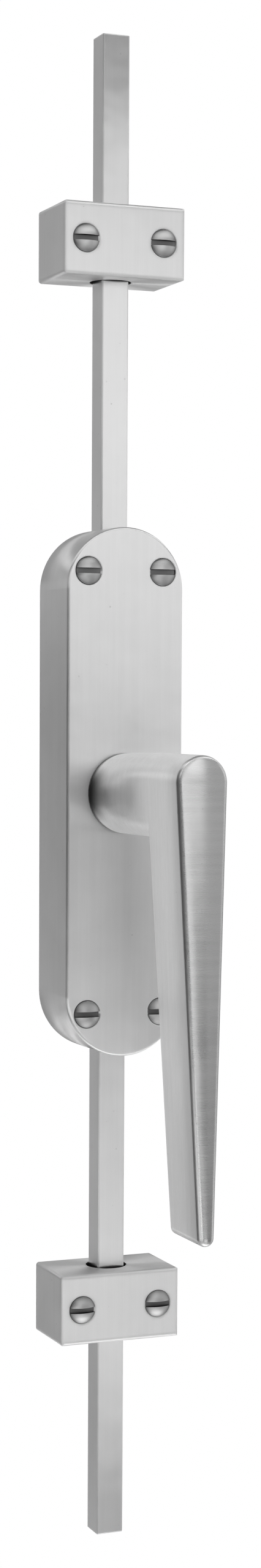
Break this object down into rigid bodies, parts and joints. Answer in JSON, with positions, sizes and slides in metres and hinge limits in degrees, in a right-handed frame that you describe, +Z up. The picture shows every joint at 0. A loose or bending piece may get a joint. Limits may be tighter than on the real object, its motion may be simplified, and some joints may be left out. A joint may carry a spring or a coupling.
{
  "type": "cremone bolt",
  "caption": "Surface-mounted cremone bolt: a lever on a round-ended case turns a pinion that draws square rods in through guide blocks to open a door.",
  "frame": {"origin": "on the mounting plane at the case's back, where the lever's turning axis meets it", "axes": "+Z up along the rods, +Y into the door, +X to the right seen from the front"},
  "size_m": [0.043, 0.1115, 0.5095],
  "materials": {
    "case_metal": "satin nickel, brushed up and down",
    "guide_metal": "satin nickel, brushed up and down",
    "rod_metal": "satin nickel, drawn along the rod",
    "lever_metal": "satin nickel, brushed across the front and along the sides",
    "screw_metal": "satin nickel, turned",
    "plate_steel": "plain pressed steel, zinc plated",
    "inner_steel": "machined steel with a film of grease",
    "dark_steel": "black oxide steel",
    "bronze": "machined bearing bronze",
    "fibre": "brown vulcanised fibre"
  },
  "bodies": {
    "case": {"case_shell": "case_metal", "back_plate": "plate_steel", "back_plate_screws": "inner_steel", "case_screws": "screw_metal", "upper_guide": "guide_metal", "lower_guide": "guide_metal", "upper_guide_screws": "screw_metal", "lower_guide_screws": "screw_metal", "front_bush": "bronze", "thrust_washer": "inner_steel", "friction_washer": "fibre", "rear_bush": "bronze", "rear_washer": "inner_steel"},
    "handle": {"lever": "lever_metal", "lever_set_screw": "dark_steel", "spindle": "inner_steel", "pinion": "inner_steel", "retaining_ring": "dark_steel"},
    "upper_bolt": {"upper_rod": "rod_metal", "upper_rack": "inner_steel", "upper_rack_screws": "dark_steel"},
    "lower_bolt": {"lower_rod": "rod_metal", "lower_rack": "inner_steel", "lower_rack_screws": "dark_steel"}
  },
  "joints": [
    {"name": "handle_turn", "type": "hinge", "parent": "case", "child": "handle", "pos_m": [0, 0, 0], "axis": [0, -1, 0], "range_deg": [0, 90]},
    {"name": "upper_slide", "type": "slide", "parent": "case", "child": "upper_bolt", "axis": [0, 0, -1], "range_m": [0, 0.01885]},
    {"name": "lower_slide", "type": "slide", "parent": "case", "child": "lower_bolt", "axis": [0, 0, 1], "range_m": [0, 0.01885]}
  ],
  "couplings": [
    {"joint": "upper_slide", "follows": "handle_turn", "m_per_rad": 0.012},
    {"joint": "lower_slide", "follows": "handle_turn", "m_per_rad": 0.012}
  ]
}
